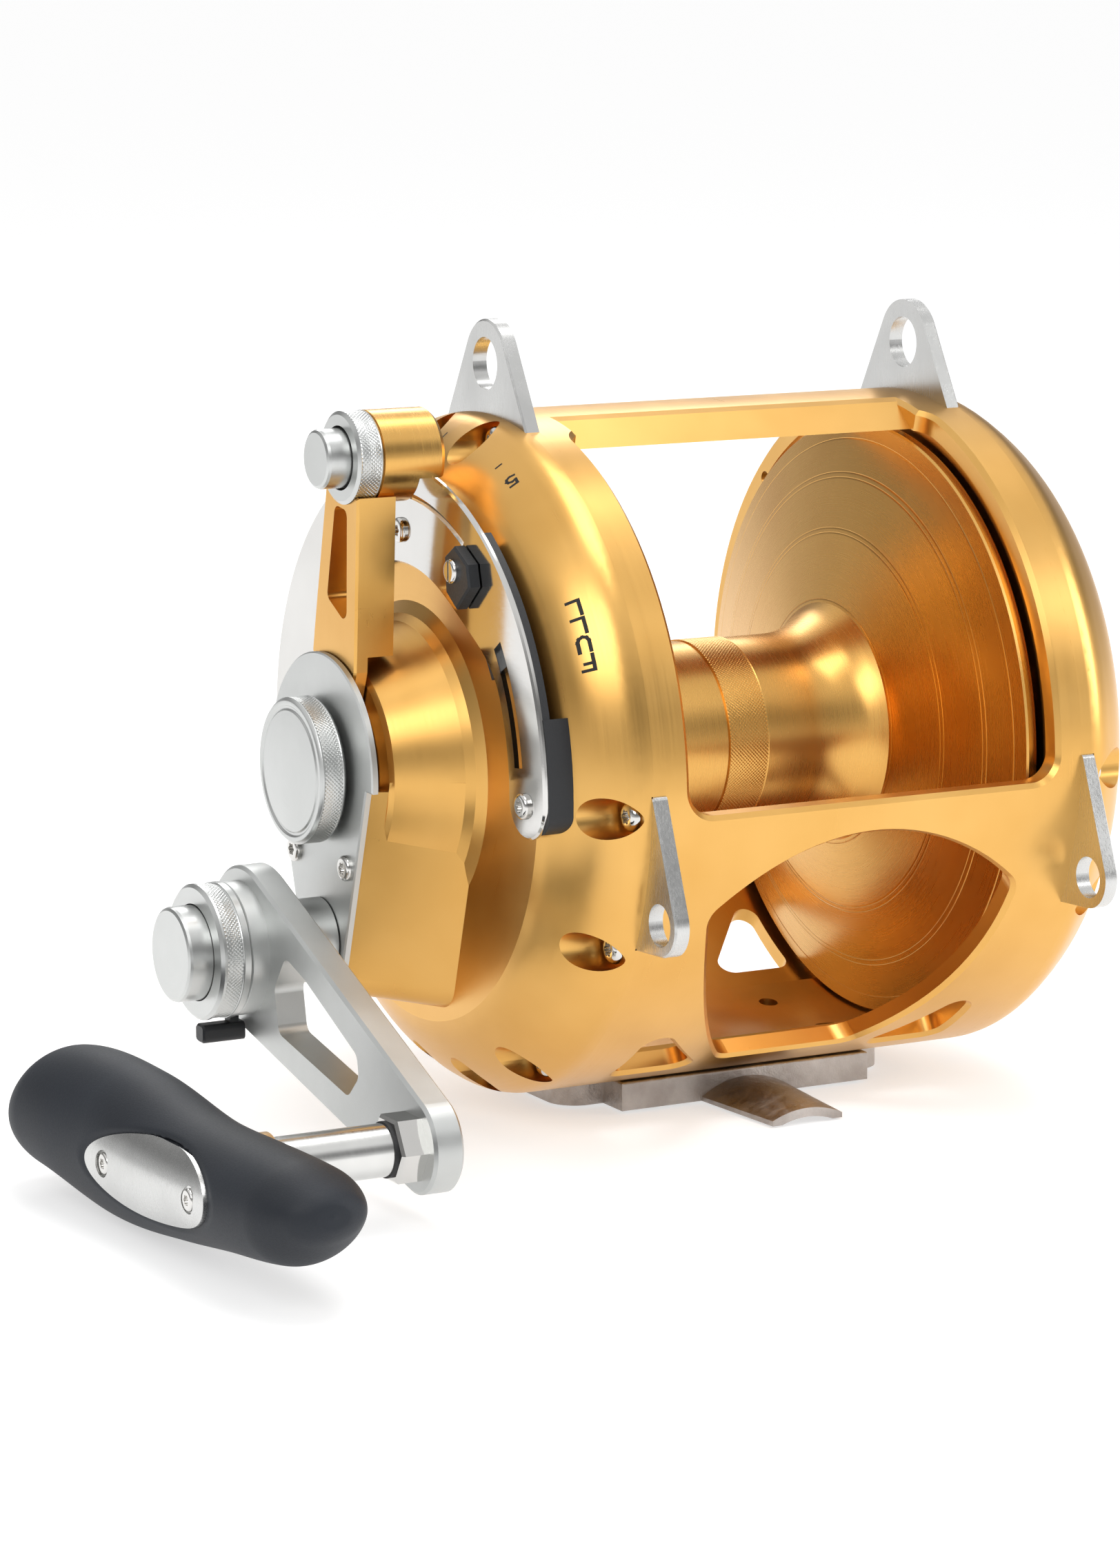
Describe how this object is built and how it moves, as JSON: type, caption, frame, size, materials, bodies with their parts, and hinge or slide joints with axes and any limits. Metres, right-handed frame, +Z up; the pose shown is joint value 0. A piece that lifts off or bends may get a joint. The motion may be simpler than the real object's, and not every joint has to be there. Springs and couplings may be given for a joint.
{
  "type": "trolling reel",
  "caption": "Two-speed lever-drag trolling reel with an open machined frame, harness lugs, a crank with a T grip and a clamp foot.",
  "frame": {"origin": "centre of the reel foot's underside", "axes": "+X along the spool axis away from the crank, +Z up, -Y towards the line exit"},
  "size_m": [0.2992, 0.2547, 0.2085],
  "materials": {
    "gold_housing": "gold anodised, fine brushed",
    "gold_spool": "gold anodised, turned",
    "silver_aluminium": "clear anodised, satin",
    "polished_steel": "polished stainless",
    "cast_steel": "rough cast stainless",
    "inner_steel": "ground steel",
    "black_plastic": "fine matte",
    "soft_grip": "soft matte rubber",
    "seal_rubber": "matte",
    "carbon": "woven carbon fibre",
    "bush_metal": "turned bronze"
  },
  "bodies": {
    "housing": {"frame": "gold_housing", "handle_side_plate": "gold_housing", "left_side_plate": "gold_housing", "gear_cover": "silver_aluminium", "gear_cover_screws": "inner_steel", "side_plate_screws": "polished_steel", "top_lugs": "polished_steel", "lower_lugs": "polished_steel", "reel_foot": "cast_steel", "foot_shim": "seal_rubber", "foot_screws": "inner_steel", "left_shaft_bush": "bush_metal", "bearing_cap": "gold_housing", "drive_bearings": "inner_steel", "crank_bearing_outer": "inner_steel", "crank_bearing_inner": "inner_steel", "pawl_pin": "inner_steel", "escutcheon": "silver_aluminium", "trim_screws": "polished_steel", "quadrant": "polished_steel", "quadrant_backing": "black_plastic"},
    "spool_shaft": {"spool_shaft": "inner_steel", "cam_follower": "inner_steel", "drag_springs": "inner_steel"},
    "spool": {"spool": "gold_spool", "spool_bearings": "inner_steel", "drag_washer": "carbon", "clicker_gear": "inner_steel"},
    "drive": {"drive_sleeve": "inner_steel", "high_pinion": "inner_steel", "low_pinion": "inner_steel", "drag_plate": "silver_aluminium"},
    "crank": {"crank_arm": "silver_aluminium", "crank_collar": "silver_aluminium", "crank_shaft": "inner_steel", "high_main_gear": "inner_steel", "ratchet_wheel": "inner_steel", "grip_stud": "polished_steel", "stud_nut": "polished_steel", "stud_seal": "seal_rubber"},
    "low_gear": {"low_main_gear": "inner_steel"},
    "shift": {"shift_button": "silver_aluminium", "shift_key": "inner_steel"},
    "release": {"release_tab": "black_plastic"},
    "grip": {"grip": "soft_grip", "grip_bush": "bush_metal", "grip_badge": "polished_steel", "badge_screws": "polished_steel"},
    "lever": {"drag_lever": "gold_housing", "lever_barrel": "gold_housing", "lever_collar": "silver_aluminium", "lever_cam": "inner_steel"},
    "lever_button": {"lever_button": "silver_aluminium"},
    "preset": {"preset_knob": "silver_aluminium"},
    "pawl": {"ratchet_pawl": "inner_steel"},
    "strike_stop": {"strike_stop": "black_plastic", "strike_stop_screw": "polished_steel"},
    "clicker": {"clicker_button": "gold_housing", "clicker_tongue": "inner_steel"}
  },
  "joints": [
    {"name": "crank_spin", "type": "hinge", "parent": "housing", "child": "crank", "pos_m": [0, 0, 0.0495], "axis": [1, 0, 0], "continuous": true},
    {"name": "lever_swing", "type": "hinge", "parent": "housing", "child": "lever", "pos_m": [0, 0, 0.094], "axis": [1, 0, 0], "range_deg": [-74, 56]},
    {"name": "drag_shift", "type": "slide", "parent": "housing", "child": "spool_shaft", "axis": [1, 0, 0], "range_m": [-0.00076, 0.001]},
    {"name": "spool_spin", "type": "hinge", "parent": "spool_shaft", "child": "spool", "pos_m": [0, 0, 0.094], "axis": [1, 0, 0], "continuous": true},
    {"name": "drive_spin", "type": "hinge", "parent": "housing", "child": "drive", "pos_m": [0, 0, 0.094], "axis": [1, 0, 0], "continuous": true},
    {"name": "low_gear_spin", "type": "hinge", "parent": "housing", "child": "low_gear", "pos_m": [0, 0, 0.0495], "axis": [1, 0, 0], "continuous": true},
    {"name": "shift_press", "type": "slide", "parent": "crank", "child": "shift", "axis": [1, 0, 0], "range_m": [0, 0.0065], "stiffness_N_per_m": 800, "springref_m": -0.002},
    {"name": "release_press", "type": "slide", "parent": "crank", "child": "release", "axis": [0, 0, 1], "range_m": [0, 0.001], "stiffness_N_per_m": 900, "springref_m": -0.001},
    {"name": "grip_spin", "type": "hinge", "parent": "crank", "child": "grip", "pos_m": [0, -0.09714, 0.01906], "axis": [1, 0, 0], "continuous": true},
    {"name": "lever_button_press", "type": "slide", "parent": "lever", "child": "lever_button", "axis": [1, 0, 0], "range_m": [0, 0.003], "stiffness_N_per_m": 800, "springref_m": -0.001},
    {"name": "preset_turn", "type": "hinge", "parent": "housing", "child": "preset", "pos_m": [0, 0, 0.094], "axis": [1, 0, 0], "continuous": true},
    {"name": "pawl_swing", "type": "hinge", "parent": "housing", "child": "pawl", "pos_m": [0, 0.009, 0.067], "axis": [1, 0, 0], "range_deg": [0, 12]},
    {"name": "strike_stop_set", "type": "hinge", "parent": "housing", "child": "strike_stop", "pos_m": [0, 0, 0.094], "axis": [1, 0, 0], "range_deg": [-16, 0]},
    {"name": "clicker_slide", "type": "slide", "parent": "housing", "child": "clicker", "axis": [0, 0, 1], "range_m": [0, 0.0036]}
  ],
  "couplings": [
    {"joint": "drive_spin", "follows": "crank_spin", "ratio": -2.1786},
    {"joint": "spool_spin", "follows": "crank_spin", "ratio": -2.1786},
    {"joint": "low_gear_spin", "follows": "crank_spin", "ratio": 2.0365},
    {"joint": "drag_shift", "follows": "lever_swing", "m_per_rad": -0.00076735}
  ]
}
